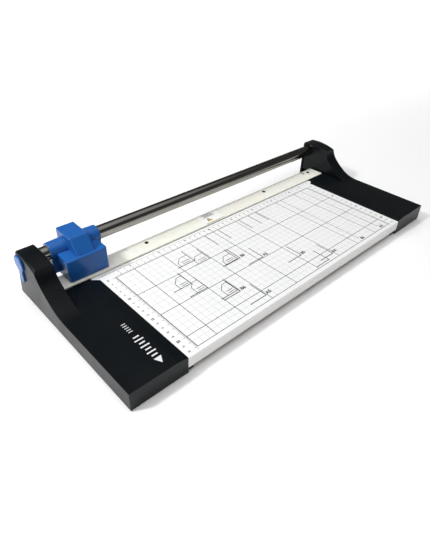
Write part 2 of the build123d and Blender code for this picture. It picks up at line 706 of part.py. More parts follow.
def head_holes():
    holes = head_bore()
    for x, z, rear in head_screw_places():
        holes += rod_along_y(HEAD_SCREW_RADIUS, ROD_Y - HEAD_SCREW_REACH, rear + 1, x, z)
        holes += rod_along_y(2.9, rear - 1.8, rear + 1, x, z)
    holes += rod_along_y(AXLE_RADIUS, CUT_Y - 14.0, CUT_Y, HEAD_X, BLADE_Z)
    holes += rod_along_y(AXLE_RADIUS, ROD_Y - 1, ROD_Y + 7.0, HEAD_X, BLADE_Z)
    return holes


def head_shell(front):
    """Front or rear half of the head, parted on the plane through the rod's axis."""
    whole = head_outer() - head_cavity() + head_bosses() - head_holes()
    near, far = (CUT_Y - 60, ROD_Y) if front else (ROD_Y, CUT_Y + 60)
    half = block(HEAD_X - 60, HEAD_X + 60, near, far, BOARD_TOP, RAMP_TOP + 10)
    return whole & half


def head_screws():
    screws = []
    for x, z, rear in head_screw_places():
        head = rod_along_y(2.8, rear - 1.8, rear - 0.2, x, z)
        shank = rod_along_y(HEAD_SCREW_RADIUS, ROD_Y - HEAD_SCREW_REACH + 1, rear - 1.8, x, z)
        cross = block(x - 1.6, x + 1.6, rear - 1.0, rear, z - 0.35, z + 0.35)
        cross += block(x - 0.35, x + 0.35, rear - 1.0, rear, z - 1.6, z + 1.6)
        screws.append(head + shank - cross)
    return Compound(children=screws)


def roller_places():
    return [HEAD_X - ROLLER_X, HEAD_X + ROLLER_X]


def head_bottom_cover():
    """Plate in the box's open bottom, with slots for the blade and the rollers."""
    half = BOX_HALF - HEAD_WALL - 0.2
    front = CUT_Y - BOX_FRONT + HEAD_WALL + 0.2
    plate = block(HEAD_X - half, HEAD_X + half, front, CUT_Y + 4.5, BOX_BOTTOM, BOX_BOTTOM + 2.2)
    plate = fillet(plate.edges().filter_by(Axis.Z).group_by(Axis.Y)[0], 1.0)
    slot_half = BLADE_RADIUS + 1.5
    low, high = BOX_BOTTOM - 1, BOX_BOTTOM + 3
    plate -= block(HEAD_X - slot_half, HEAD_X + slot_half, CUT_Y - 2.0, CUT_Y + 3.0, low, high)
    for x in roller_places():
        for end in (-1, 1):
            near = ROLLER_Y + end * (ROLLER_WIDTH / 2 + 0.4)
            far = near + end * 2.0
            plate += block(x - 2.6, x + 2.6, near, far, BOX_BOTTOM + 1, ROLLER_Z + 2.4)
        opening = ROLLER_WIDTH / 2 + 0.4
        plate -= block(x - 4.9, x + 4.9, ROLLER_Y - opening, ROLLER_Y + opening, low, high)
        plate -= rod_along_y(1.0, ROLLER_Y - 6.5, ROLLER_Y + 6.5, x, ROLLER_Z)
    return plate


def roller(x):
    wheel = rod_along_y(ROLLER_RADIUS, ROLLER_Y - ROLLER_WIDTH / 2, ROLLER_Y + ROLLER_WIDTH / 2, x, ROLLER_Z)
    wheel = fillet(wheel.edges().filter_by(GeomType.CIRCLE), 0.6)
    return wheel - rod_along_y(1.0 + RUNNING_GAP, ROLLER_Y - 6, ROLLER_Y + 6, x, ROLLER_Z)


def roller_pins():
    reach = ROLLER_WIDTH / 2 + 2.4
    return Compound(children=[rod_along_y(1.0, ROLLER_Y - reach, ROLLER_Y + reach, x, ROLLER_Z)
                              for x in roller_places()])


def bushing(side):
    """Plain bearing with a thin flange against the end of the collar."""
    inner = HEAD_X + side * (COLLAR_HALF - BUSH_LENGTH + 0.1)
    outer = HEAD_X + side * (COLLAR_HALF - 0.4)
    sleeve = rod_along_x(BUSH_RADIUS, inner, outer, ROD_Y, ROD_Z)
    return sleeve - rod_along_x(ROD_RADIUS + RUNNING_GAP, inner - side, outer + side, ROD_Y, ROD_Z)


def blade():
    """Round knife, flat towards the bed knife and bevelled behind."""
    front = CUT_Y + BLADE_GAP
    rear = front + BLADE_THICKNESS
    section = make_face(Polyline(
        (BLADE_NECK, front),
        (BLADE_RADIUS, front),
        (BLADE_RADIUS - 1.2, rear),
        (BLADE_NECK, rear),
        close=True,
    ))
    return Pos(HEAD_X, 0, BLADE_Z) * revolve(section, axis=Axis.Y)


def blade_hub():
    front = CUT_Y - 0.9
    seat = CUT_Y + BLADE_GAP + BLADE_THICKNESS
    hub_solid = rod_along_y(BLADE_NECK, front, seat, HEAD_X, BLADE_Z)
    hub_solid += rod_along_y(BLADE_HUB_RADIUS, seat, seat + BLADE_HUB_LENGTH, HEAD_X, BLADE_Z)
    return hub_solid - rod_along_y(AXLE_RADIUS + RUNNING_GAP, front - 1, seat + 8, HEAD_X, BLADE_Z)


def blade_axle():
    return rod_along_y(AXLE_RADIUS, CUT_Y - 13.5, ROD_Y + 6.5, HEAD_X, BLADE_Z)


def blade_spring():
    """Coil that pushes the blade's hub towards the bed knife."""
    start = CUT_Y + BLADE_GAP + BLADE_THICKNESS + BLADE_HUB_LENGTH + 0.5
    length = ROD_Y - start - 0.5
    path = Helix(pitch=length / 4, height=length, radius=2.6)
    profile = Plane(origin=path @ 0, z_dir=path % 0) * Circle(0.35)
    coil = sweep(profile, path=path, is_frenet=True)
    return Pos(HEAD_X, start, BLADE_Z) * Rot(-90, 0, 0) * coil


# ---------------------------------------------------------------- the object

PARTS = {
    "base_board": base_board(),
    "printed_sheet": printed_sheet(),
    "front_edge_band": front_edge_band(),
    "rear_edge_band": rear_edge_band(),
    "bed_knife": bed_knife(),
    "knife_screws": knife_screws(),
    "clamp_strip": clamp_strip(),
    "guide_pins": guide_pins(),
    "pin_clips": pin_clips(),
    "clamp_springs": clamp_springs(),
    "strip_label": strip_label(),
    "cover_screws": cover_screws(),
    "board_screws": board_screws(),
    "rubber_feet": rubber_feet(),
    "guide_rod": guide_rod(),
    "lock_lever": lock_lever(),
    "lever_shaft": lever_shaft(),
    "rod_screw": rod_screw(),
    "right_rod_cap": right_rod_cap(),
    "head_front_shell": head_shell(front=True),
    "head_rear_cover": head_shell(front=False),
    "head_bottom_cover": head_bottom_cover(),
    "head_screws": head_screws(),
    "roller_pins": roller_pins(),
    "blade": blade(),
    "blade_hub": blade_hub(),
    "blade_axle": blade_axle(),
    "blade_spring": blade_spring(),
}
for name, side in SIDES:
    PARTS[name + "_end_cap"] = end_cap(side)
    PARTS[name + "_cheek"] = cheek(side)
    PARTS[name + "_bottom_cover"] = bottom_cover(side)
    PARTS[name + "_bushing"] = bushing(side)
    PARTS[name + "_roller"] = roller(HEAD_X + side * ROLLER_X)

os.makedirs("parts", exist_ok=True)
for node, solid in PARTS.items():
    export_step(solid, "parts/" + node + ".step")
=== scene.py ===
import json
import math

import bmesh
import bpy
from mathutils import Matrix, Vector


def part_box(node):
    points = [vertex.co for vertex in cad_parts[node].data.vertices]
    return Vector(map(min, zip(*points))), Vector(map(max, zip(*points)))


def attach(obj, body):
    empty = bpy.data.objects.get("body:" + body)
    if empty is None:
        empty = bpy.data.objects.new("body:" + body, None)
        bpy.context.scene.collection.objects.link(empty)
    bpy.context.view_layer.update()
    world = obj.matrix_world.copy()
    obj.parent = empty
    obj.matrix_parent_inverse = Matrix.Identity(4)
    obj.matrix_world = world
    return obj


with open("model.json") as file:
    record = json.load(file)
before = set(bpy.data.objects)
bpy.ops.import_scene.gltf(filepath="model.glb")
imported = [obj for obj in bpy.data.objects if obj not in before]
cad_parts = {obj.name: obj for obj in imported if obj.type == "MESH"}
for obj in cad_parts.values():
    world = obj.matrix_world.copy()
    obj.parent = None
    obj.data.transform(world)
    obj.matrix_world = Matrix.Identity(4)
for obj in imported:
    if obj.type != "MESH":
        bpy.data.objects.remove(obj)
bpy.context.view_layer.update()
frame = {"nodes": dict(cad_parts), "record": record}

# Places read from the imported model, in metres.
CUT_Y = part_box("bed_knife")[1].y
BOARD_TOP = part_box("printed_sheet")[1].z
LEFT_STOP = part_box("left_end_cap")[1].x
CAP_RISE = 0.0033           # the flat of each end cap lies this far above the board
CAP_TOP = BOARD_TOP + CAP_RISE

CM = 0.01

# Printed grid, in centimetres: X from the left stop, depth from the cutting line.
GRID_LEFT = 2.0
GRID_RIGHT = 44.0
GRID_NEAR = 5.0
GRID_FAR = 22.0
GRID_STRONG = 5             # every fifth line is printed strongly
MINOR_LINE_HALF = 0.030     # half the width of a faint grid line
PRINT_SHIFT = 0.12          # the print sits this far towards the cutting line
SHEET_NEAR_EDGE = 3.60      # line along the clamp strip
SHEET_WIDTH = 46.0

# Rulers round the grid, in centimetres.
REAR_NUMBERS = 4.02                             # depth of the rear ruler's numbers
REAR_TICKS = (4.48, 4.74)                       # depths at which its ticks start and end
REAR_HALF_TICKS = (4.64, 4.78)
SIDE_RULERS = ((0.75, 1.50), (45.1, 44.35))     # X of the numbers and of the ticks
SIDE_TICK = 0.20

# Paper sizes marked on the sheet, in centimetres: long side, short side.
SHEETS_BOTH_WAYS = ((18.2, 12.8), (21.0, 14.8))
SHEETS_ONE_WAY = ((25.7, 18.2), (29.7, 21.0), (27.95, 21.6))
PHOTOS = ((12.7, 8.9), (14.8, 10.0), (17.8, 12.7))
LARGE_SHEETS = (36.4, 42.0)
CORNER_REACH = 2.9

# Sheet widths that also have a mark at the grid's rear edge, and the mark's length.
REAR_MARKS = (18.2, 21.0, 25.7, 27.95, 29.7)
REAR_MARK_REACH = 3.1

# Cut-corner outlines at the photo corners: X, depth, width, height, slant of the cut.
OUTLINES = (
    (12.7, 8.9, 2.3, 1.75, 0.9),
    (14.8, 10.0, 2.2, 1.75, 0.8),
    (17.8, 12.7, 2.2, 1.75, 0.95),
    (8.9, 12.7, 1.75, 2.2, 0.9),
    (10.0, 14.8, 1.7, 2.2, 0.85),
    (12.7, 17.8, 1.75, 2.2, 0.9),
)

# Names of sheet sizes: name, X and depth of its middle.
SIZE_NAMES = (
    ("B6", 18.95, 12.55),
    ("A5", 21.75, 14.55),
    ("B6", 13.55, 17.95),
    ("A5", 15.55, 20.75),
    ("B5", 26.4, 17.95),
    ("A4", 30.4, 20.75),
    ("B4", 36.95, 21.55),
    ("A3", 42.5, 21.55),
)

# Printing, in metres.
INK_HEIGHT = 0.00003
FRAME_LINE = 0.0011
STRONG_LINE = 0.0009
PAPER_LINE = 0.0013
OUTLINE_LINE = 0.0009
NAME_SIZE = 0.0074
NAME_BOLD = 0.00032
DASH_LINE = 0.0010
DASH_PITCH = 0.0044

# Camera that looks over the left front corner, with its angles in degrees.
CAMERA_TARGET = Vector((-0.0944, -0.0288, 0.0245))
CAMERA_DISTANCE = 0.63906
CAMERA_AZIMUTH = -43.9
CAMERA_ELEVATION = 36.69
CAMERA_ROLL = 1.958
CAMERA_LENS = 30.235


# ---------------------------------------------------------------- node helpers

class Surface:
    """One material's node tree, with a shader and short calls that add nodes to it."""

    def __init__(self, name):
        self.material = bpy.data.materials.new(name)
        self.material.use_nodes = True
        self.tree = self.material.node_tree
        self.shader = self.tree.nodes["Principled BSDF"]
        self.place = self.add("ShaderNodeTexCoord").outputs["Object"]

    def add(self, kind, **settings):
        node = self.tree.nodes.new(kind)
        for key, value in settings.items():
            setattr(node, key, value)
        return node

    def link(self, source, target):
        self.tree.links.new(source, target)

    def fixed(self, **values):
        """Shader values that are the same all over the surface."""
        for key, value in values.items():
            self.shader.inputs[key.replace("_", " ")].default_value = value
        return self

    def stretched(self, x, y, z):
        """Object coordinates multiplied along each axis."""
        node = self.add("ShaderNodeVectorMath", operation="MULTIPLY")
        self.link(self.place, node.inputs[0])
        node.inputs[1].default_value = (x, y, z)
        return node.outputs[0]

    def noise(self, scale, detail=4.0, roughness=0.55, place=None):
        node = self.add("ShaderNodeTexNoise")
        self.link(place or self.place, node.inputs["Vector"])
        node.inputs["Scale"].default_value = scale
        node.inputs["Detail"].default_value = detail
        node.inputs["Roughness"].default_value = roughness
        return node.outputs["Fac"]

    def span(self, value, low, high, from_low=0.3, from_high=0.7):
        """A value remapped from one range to another."""
        node = self.add("ShaderNodeMapRange")
        self.link(value, node.inputs["Value"])
        node.inputs["From Min"].default_value = from_low
        node.inputs["From Max"].default_value = from_high
        node.inputs["To Min"].default_value = low
        node.inputs["To Max"].default_value = high
        return node.outputs["Result"]

    def mix(self, factor, first, second):
        """Colour between two colours, or between two colour outputs."""
        node = self.add("ShaderNodeMix", data_type="RGBA")
        self.link(factor, node.inputs["Factor"])
        for socket, colour in ((node.inputs[6], first), (node.inputs[7], second)):
            if isinstance(colour, bpy.types.NodeSocket):
                self.link(colour, socket)
            else:
                socket.default_value = (*colour, 1.0)
        return node.outputs[2]

    def math(self, operation, first, second=0.0):
        node = self.add("ShaderNodeMath", operation=operation)
        for socket, value in ((node.inputs[0], first), (node.inputs[1], second)):
            if isinstance(value, bpy.types.NodeSocket):
                self.link(value, socket)
            else:
                socket.default_value = value
        return node.outputs[0]

    def edge_wear(self, radius):
        """1 on convex edges within radius, 0 on flat stretches."""
        bevel = self.add("ShaderNodeBevel", samples=4)
        bevel.inputs["Radius"].default_value = radius
        geometry = self.add("ShaderNodeNewGeometry")
        dot = self.add("ShaderNodeVectorMath", operation="DOT_PRODUCT")
        self.link(bevel.outputs["Normal"], dot.inputs[0])
        self.link(geometry.outputs["Normal"], dot.inputs[1])
        return self.span(dot.outputs["Value"], 1.0, 0.0, 0.80, 0.995)

    def colour(self, output):
        self.link(output, self.shader.inputs["Base Color"])

    def roughness(self, output):
        self.link(output, self.shader.inputs["Roughness"])

    def bump(self, height, distance, soften=0.0):
        """Fine relief of the given depth in metres, over edges softened by a small radius."""
        node = self.add("ShaderNodeBump")
        node.inputs["Distance"].default_value = distance
        self.link(height, node.inputs["Height"])
        if soften:
            bevel = self.add("ShaderNodeBevel", samples=6)
            bevel.inputs["Radius"].default_value = soften
            self.link(bevel.outputs["Normal"], node.inputs["Normal"])
        self.link(node.outputs["Normal"], self.shader.inputs["Normal"])


# ---------------------------------------------------------------- materials

def moulded_plastic(name, dark, light, gloss, grain, soften=0.0004, edge_highlight=None, **fixed):
    """Injection-moulded plastic with a cloudy colour, and an optional painted highlight colour
    laid in patches on convex edges.
    """
    surface = Surface(name).fixed(**fixed)
    cloud = surface.noise(22.0, 5.0)
    speck = surface.noise(900.0, 2.0)
    tone = surface.mix(surface.span(cloud, 0.0, 1.0), dark, light)
    # Painted highlight: a lighter colour laid in patches on convex edges, where light glints.
    if edge_highlight:
        patchy = surface.span(surface.noise(60.0), 0.0, 0.8)
        highlight_mask = surface.math("MULTIPLY", surface.edge_wear(0.0007), patchy)
        tone = surface.mix(highlight_mask, tone, edge_highlight)
    surface.colour(tone)
    smear = surface.noise(9.0, 6.0, 0.65, surface.stretched(1.0, 2.2, 1.0))
    low, high = gloss
    surface.roughness(surface.span(smear, low, high))
    surface.bump(speck, grain, soften=soften)
    return surface.material


def black_cap():
    # Convex edges get a painted grey highlight.
    return moulded_plastic("black_cap_plastic", (0.0030, 0.0042, 0.0052), (0.0050, 0.0066, 0.0078),
                           gloss=(0.26, 0.38), grain=0.000035, soften=0.0006,
                           edge_highlight=(0.030, 0.034, 0.036), Specular_IOR_Level=0.2)


def black_cover():
    return moulded_plastic("black_cover_plastic", (0.010, 0.010, 0.011), (0.018, 0.018, 0.019),
                           gloss=(0.50, 0.66), grain=0.00006)


def blue_plastic():
    # Convex edges get a painted light-blue highlight.
    return moulded_plastic("blue_plastic", (0.013, 0.100, 0.35), (0.017, 0.116, 0.40),
                           gloss=(0.20, 0.32), grain=0.000012, soften=0.0008,
                           edge_highlight=(0.08, 0.24, 0.70), Specular_IOR_Level=0.35)


def black_pin():
    return moulded_plastic("black_pin_plastic", (0.010, 0.010, 0.011), (0.016, 0.016, 0.016),
                           gloss=(0.35, 0.5), grain=0.00001)


def blade_hub():
    return moulded_plastic("blade_hub_plastic", (0.012, 0.012, 0.013), (0.020, 0.020, 0.021),
                           gloss=(0.4, 0.55), grain=0.00002)


def cream_plastic():
    surface = Surface("cream_strip_plastic").fixed(Subsurface_Weight=0.12, Subsurface_Scale=0.002)
    cloud = surface.noise(14.0, 5.0, place=surface.stretched(0.4, 2.0, 1.0))
    streak = surface.noise(40.0, 3.0, place=surface.stretched(0.05, 6.0, 1.0))
    tone = surface.mix(surface.span(cloud, 0.0, 1.0), (0.87, 0.865, 0.77), (0.92, 0.92, 0.84))
    tone = surface.mix(surface.span(streak, 0.0, 0.2), tone, (0.76, 0.75, 0.64))
    surface.colour(tone)
    surface.roughness(surface.span(surface.noise(30.0), 0.22, 0.36))
    surface.bump(surface.noise(300.0, 2.0), 0.00002, soften=0.0003)
    return surface.material


def chrome(name, tint, gloss, streaks):
    """Plated steel with faint draw marks along X."""
    surface = Surface(name).fixed(Metallic=1.0)
    marks = surface.noise(streaks, 3.0, place=surface.stretched(0.02, 1.0, 1.0))
    haze = surface.noise(18.0, 4.0)
    dull = tuple(0.82 * c for c in tint)
    surface.colour(surface.mix(surface.span(haze, 0.0, 1.0), dull, tint))
    low, high = gloss
    surface.roughness(surface.span(marks, low, high))
    surface.bump(marks, 0.000006)
    return surface.material


def zinc():
    surface = Surface("zinc_plated_steel").fixed(Metallic=1.0)
    cloud = surface.noise(420.0, 3.0)
    tone = surface.mix(surface.span(cloud, 0.0, 1.0), (0.42, 0.42, 0.43), (0.62, 0.62, 0.61))
    surface.colour(tone)
    surface.roughness(surface.span(surface.noise(900.0), 0.22, 0.42))
    surface.bump(surface.noise(1500.0), 0.00001)
    return surface.material


def knife_steel():
    surface = Surface("ground_knife_steel").fixed(Metallic=1.0, Anisotropic=0.5)
    lines = surface.noise(1400.0, 2.0, place=surface.stretched(1.0, 0.03, 1.0))
    stain = surface.noise(25.0, 5.0)
    tone = surface.mix(surface.span(stain, 0.0, 1.0), (0.38, 0.38, 0.38), (0.52, 0.52, 0.53))
    surface.colour(tone)
    surface.roughness(surface.span(lines, 0.25, 0.45))
    surface.bump(lines, 0.000008)
    return surface.material


def blade_steel():
    """Honed disc: fine rings round its own axle."""
    low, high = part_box("blade")
    centre = (low + high) / 2
    surface = Surface("honed_blade_steel").fixed(Metallic=1.0)
    offset = surface.add("ShaderNodeVectorMath", operation="SUBTRACT")
    surface.link(surface.place, offset.inputs[0])
    offset.inputs[1].default_value = centre
    length = surface.add("ShaderNodeVectorMath", operation="LENGTH")
    surface.link(offset.outputs[0], length.inputs[0])
    rings = surface.add("ShaderNodeTexNoise", noise_dimensions="1D")
    surface.link(length.outputs["Value"], rings.inputs["W"])
    rings.inputs["Scale"].default_value = 2500.0
    surface.colour(surface.mix(rings.outputs["Fac"], (0.50, 0.50, 0.51), (0.66, 0.66, 0.68)))
    surface.roughness(surface.span(rings.outputs["Fac"], 0.12, 0.30))
    surface.bump(rings.outputs["Fac"], 0.000005)
    return surface.material


def rubber():
    surface = Surface("foot_rubber")
    cloud = surface.noise(120.0, 4.0)
    tone = surface.mix(surface.span(cloud, 0.0, 1.0), (0.012, 0.012, 0.012), (0.030, 0.029, 0.028))
    surface.colour(tone)
    surface.roughness(surface.span(cloud, 0.68, 0.85))
    surface.bump(surface.noise(1200.0), 0.00008)
    return surface.material


def fibreboard():
    """Pressed wood fibres, seen on the board's underside."""
    surface = Surface("fibreboard")
    fibre = surface.noise(260.0, 6.0, 0.7, surface.stretched(1.0, 0.35, 1.0))
    patch = surface.noise(12.0, 4.0)
    tone = surface.mix(surface.span(fibre, 0.0, 1.0), (0.20, 0.135, 0.075), (0.42, 0.31, 0.19))
    surface.colour(surface.mix(surface.span(patch, 0.0, 0.35), tone, (0.30, 0.22, 0.14)))
    surface.roughness(surface.span(fibre, 0.70, 0.90))
    surface.bump(fibre, 0.00015)
    return surface.material


def sheet_film():
    """White laminate with a faint grid of one-centimetre lines."""
    surface = Surface("printed_white_film")
    split = surface.add("ShaderNodeSeparateXYZ")
    surface.link(surface.place, split.inputs[0])
    beside = surface.math("SUBTRACT", split.outputs[0], LEFT_STOP)
    across = surface.math("MULTIPLY", beside, 1.0 / CM)
    behind = surface.math("SUBTRACT", CUT_Y + PRINT_SHIFT * CM, split.outputs[1])
    depth = surface.math("MULTIPLY", behind, 1.0 / CM)
    line = surface.math("MAXIMUM", grid_line(surface, across), grid_line(surface, depth))
    for value, low, high in ((across, GRID_LEFT, GRID_RIGHT), (depth, GRID_NEAR, GRID_FAR)):
        line = surface.math("MULTIPLY", line, surface.math("GREATER_THAN", value, low))
        line = surface.math("MULTIPLY", line, surface.math("LESS_THAN", value, high))
    cloud = surface.noise(10.0, 4.0)
    paper = surface.mix(surface.span(cloud, 0.0, 1.0), (0.85, 0.86, 0.85), (0.89, 0.895, 0.885))
    speckle = surface.span(surface.noise(500.0), 0.0, 1.0)
    grid_ink = surface.mix(speckle, (0.54, 0.55, 0.53), (0.68, 0.69, 0.67))
    surface.colour(surface.mix(line, paper, grid_ink))
    surface.roughness(surface.span(surface.noise(16.0, 5.0), 0.20, 0.34))
    surface.bump(surface.noise(700.0, 2.0), 0.00001)
    return surface.material


def grid_line(surface, value):
    """1 within a thin band round each whole number, 0 elsewhere."""
    offset = surface.math("SUBTRACT", surface.math("FRACT", surface.math("ADD", value, 0.5)), 0.5)
    return surface.math("LESS_THAN", surface.math("ABSOLUTE", offset), MINOR_LINE_HALF)


def edge_film():
    # Near white and a little lighter than the film on top: painted light that lifts the board's
    # front face, which gets little lamp light.
    surface = Surface("lifted_edge_band")
    cloud = surface.noise(30.0, 5.0, place=surface.stretched(0.3, 1.0, 3.0))
    tone = surface.mix(surface.span(cloud, 0.0, 1.0), (0.88, 0.87, 0.86), (0.93, 0.92, 0.91))
    surface.colour(tone)
    surface.roughness(surface.span(surface.noise(60.0), 0.35, 0.5))
    surface.bump(surface.noise(500.0), 0.00003)
    return surface.material


def label_film():
    surface = Surface("label_film")
    cloud = surface.noise(40.0, 4.0)
    tone = surface.mix(surface.span(cloud, 0.0, 1.0), (0.86, 0.87, 0.86), (0.92, 0.92, 0.91))
    surface.colour(tone)
    surface.roughness(surface.span(cloud, 0.25, 0.35))
    surface.bump(surface.noise(600.0), 0.00001)
    return surface.material


def ink(name, colour):
    """Printing ink, also used for the sticker's brown edge line with its painted shade: slightly
    uneven cover over the film.
    """
    surface = Surface(name)
    patch = surface.noise(700.0, 3.0)
    faded = tuple(0.8 * c + 0.2 * 0.5 for c in colour)
    surface.colour(surface.mix(surface.span(patch, 0.0, 0.6), colour, faded))
    surface.roughness(surface.span(patch, 0.35, 0.5))
    surface.bump(patch, 0.000004)
    return surface.material


def pale_bearing(name, dark, light):
    surface = Surface(name).fixed(Subsurface_Weight=0.1, Subsurface_Scale=0.001)
    cloud = surface.noise(80.0, 4.0)
    surface.colour(surface.mix(surface.span(cloud, 0.0, 1.0), dark, light))
    surface.roughness(surface.span(cloud, 0.30, 0.48))
    surface.bump(surface.noise(900.0), 0.00002)
    return surface.material


def finish_nodes():
    """Gives every node of the model the finish of its material slot."""
    finishes = {
        "board_core": fibreboard(),
        "board_film": sheet_film(),
        "board_edge": edge_film(),
        "knife_steel": knife_steel(),
        "screw_steel": zinc(),
        "strip_plastic": cream_plastic(),
        "pin_black": black_pin(),
        "label_white": label_film(),
        "cap_black": black_cap(),
        "cover_black": black_cover(),
        "foot_rubber": rubber(),
        "rod_chrome": chrome("rod_chrome", (0.40, 0.38, 0.355), (0.06, 0.14), 700.0),
        "blue_plastic": blue_plastic(),
        "bushing_plastic": pale_bearing("bearing_plastic", (0.62, 0.60, 0.54), (0.72, 0.70, 0.64)),
        "blade_steel": blade_steel(),
        "hub_plastic": blade_hub(),
        "roller_plastic": pale_bearing("roller_nylon", (0.70, 0.69, 0.65), (0.78, 0.77, 0.73)),
    }
    for entry in frame["record"]["subparts"]:
        mesh = frame["nodes"][entry["node"]].data
        mesh.materials.clear()
        mesh.materials.append(finishes[entry["material_slot"]])


# ---------------------------------------------------------------- printing, and a painted shade line on the sticker

class Print:
    """Raised ink and other thin marks on one level surface, gathered into one mesh."""

    def __init__(self, level):
        self.mesh = bmesh.new()
        self.level = level

    def slab(self, corners):
        """Thin closed slab over a convex outline of (x, y) corners, given anticlockwise."""
        bottom = [self.mesh.verts.new((x, y, self.level - INK_HEIGHT)) for x, y in corners]
        top = [self.mesh.verts.new((x, y, self.level + INK_HEIGHT)) for x, y in corners]
        self.mesh.faces.new(top)
        self.mesh.faces.new(list(reversed(bottom)))
        count = len(corners)
        for i in range(count):
            j = (i + 1) % count
            self.mesh.faces.new((bottom[i], bottom[j], top[j], top[i]))

    def line(self, start, end, width):
        """Straight stroke between two points."""
        a = Vector(start)
        b = Vector(end)
        along = (b - a).normalized() * (width / 2)
        side = Vector((-along.y, along.x))
        a = a - along
        b = b + along
        self.slab([a - side, b - side, b + side, a + side])

    def dashes(self, start, end, width, pitch):
        """Broken stroke between two points."""
        a = Vector(start)
        b = Vector(end)
        count = round((b - a).length / pitch)
        step = (b - a) / count
        for i in range(count):
            self.line(a + step * i, a + step * (i + 0.6), width)

    def path(self, points, width):
        for start, end in zip(points, points[1:]):
            self.line(start, end, width)

    def text(self, words, centre, size, bold):
        """Words centred on a point, with their outline thickened by bold."""
        curve = bpy.data.curves.new("words", "FONT")
        curve.body = words
        curve.size = size
        curve.align_x = "CENTER"
        curve.align_y = "CENTER"
        curve.extrude = INK_HEIGHT
        curve.offset = bold
        curve.resolution_u = 3
        holder = bpy.data.objects.new("words", curve)
        made = bpy.data.meshes.new_from_object(holder)
        made.transform(Matrix.Translation((*centre, self.level)))
        self.mesh.from_mesh(made)
        bpy.data.objects.remove(holder)
        bpy.data.curves.remove(curve)
        bpy.data.meshes.remove(made)

    def finish(self, name, material, body):
        """Turns the gathered marks into one piece that rides on a body."""
        mesh = bpy.data.meshes.new(name)
        self.mesh.to_mesh(mesh)
        self.mesh.free()
        mesh.materials.append(material)
        piece = bpy.data.objects.new(name, mesh)
        bpy.context.scene.collection.objects.link(piece)
        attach(piece, body)


def on_sheet(across, depth):
    """Model (x, y) in metres of a printed place given in centimetres."""
    return LEFT_STOP + across * CM, CUT_Y + (PRINT_SHIFT - depth) * CM


def print_grid(dark):
    """Frame and five-centimetre lines."""
    for across in (GRID_LEFT, *range(GRID_STRONG, 41, GRID_STRONG), GRID_RIGHT):
        width = FRAME_LINE if across in (GRID_LEFT, GRID_RIGHT) else STRONG_LINE
        dark.line(on_sheet(across, GRID_NEAR), on_sheet(across, GRID_FAR), width)
    for depth in (GRID_NEAR, *range(2 * GRID_STRONG, 21, GRID_STRONG), GRID_FAR):
        dark.line(on_sheet(GRID_LEFT, depth), on_sheet(GRID_RIGHT, depth), STRONG_LINE)


def print_frame_bands(pale):
    """Soft grey bands just outside the grid's frame."""
    left = GRID_LEFT - 0.18
    rear = GRID_NEAR - 0.13
    right = GRID_RIGHT + 0.16
    front = GRID_FAR + 0.3
    side_width = 0.0022
    rear_width = 0.0014
    pale.line(on_sheet(left, GRID_NEAR), on_sheet(left, front), side_width)
    pale.line(on_sheet(GRID_LEFT, rear), on_sheet(GRID_RIGHT, rear), rear_width)
    pale.line(on_sheet(right, GRID_NEAR), on_sheet(right, front), side_width)


def print_rulers(dark, grey):
    """Numbers and ticks along the rear, left and right edges of the grid."""
    for number in range(3, 44):
        strong = number % GRID_STRONG == 0
        size, bold = (0.0044, 0.00020) if strong else (0.0032, 0.00012)
        dark.text(str(number), on_sheet(number, REAR_NUMBERS), size, bold)
        start, end = (on_sheet(number, depth) for depth in REAR_TICKS)
        dark.line(start, end, 0.0007)
    for number in range(5, 23):
        strong = number % GRID_STRONG == 0
        size, bold = (0.0048, 0.00025) if strong else (0.0036, 0.00014)
        for across, tick in SIDE_RULERS:
            dark.text(str(number), on_sheet(across, number), size, bold)
            dark.line(on_sheet(tick, number), on_sheet(tick + SIDE_TICK, number), 0.0006)
    for half in range(6, 88):
        start, end = (on_sheet(half / 2, depth) for depth in REAR_HALF_TICKS)
        grey.line(start, end, 0.0003)


def print_corner(dark, across, depth):
    """Corner mark for a paper size: a stroke towards the rear and one to the left."""
    dark.line(on_sheet(across, depth), on_sheet(across, depth - CORNER_REACH), PAPER_LINE)
    dark.line(on_sheet(across, depth), on_sheet(across - CORNER_REACH, depth), PAPER_LINE)


def print_outline(dark, across, depth, wide, tall, slant):
    """Outline of a small sheet with its far left corner cut, and bars in place of words."""
    left = across - wide
    rear = depth - tall
    dark.path([on_sheet(left, depth), on_sheet(left, rear + slant),
               on_sheet(left + slant, rear), on_sheet(across, rear)], OUTLINE_LINE)
    for row in (0.35, 0.75):
        start = on_sheet(left + 0.25 * wide, depth - row)
        dark.line(start, on_sheet(across - 0.15 * wide, depth - row), 0.0010)


def print_paper_marks(dark):
    """Corners of standard sheet sizes, lying both ways where both fit."""
    for long, short in SHEETS_BOTH_WAYS:
        print_corner(dark, long, short)
        print_corner(dark, short, long)
    for across, depth in SHEETS_ONE_WAY:
        print_corner(dark, across, depth)
    for across in REAR_MARKS:
        end = on_sheet(across, GRID_NEAR + REAR_MARK_REACH)
        dark.line(on_sheet(across, GRID_NEAR), end, PAPER_LINE)
    for long, short in PHOTOS:
        print_corner(dark, long, short)
        print_corner(dark, short, long)
    for outline in OUTLINES:
        print_outline(dark, *outline)
    for name, across, depth in SIZE_NAMES:
        dark.text(name, on_sheet(across, depth), NAME_SIZE, NAME_BOLD)
    for across in LARGE_SHEETS:
        end = on_sheet(across, GRID_FAR - 0.7)
        dark.dashes(on_sheet(across, GRID_NEAR), end, DASH_LINE, DASH_PITCH)


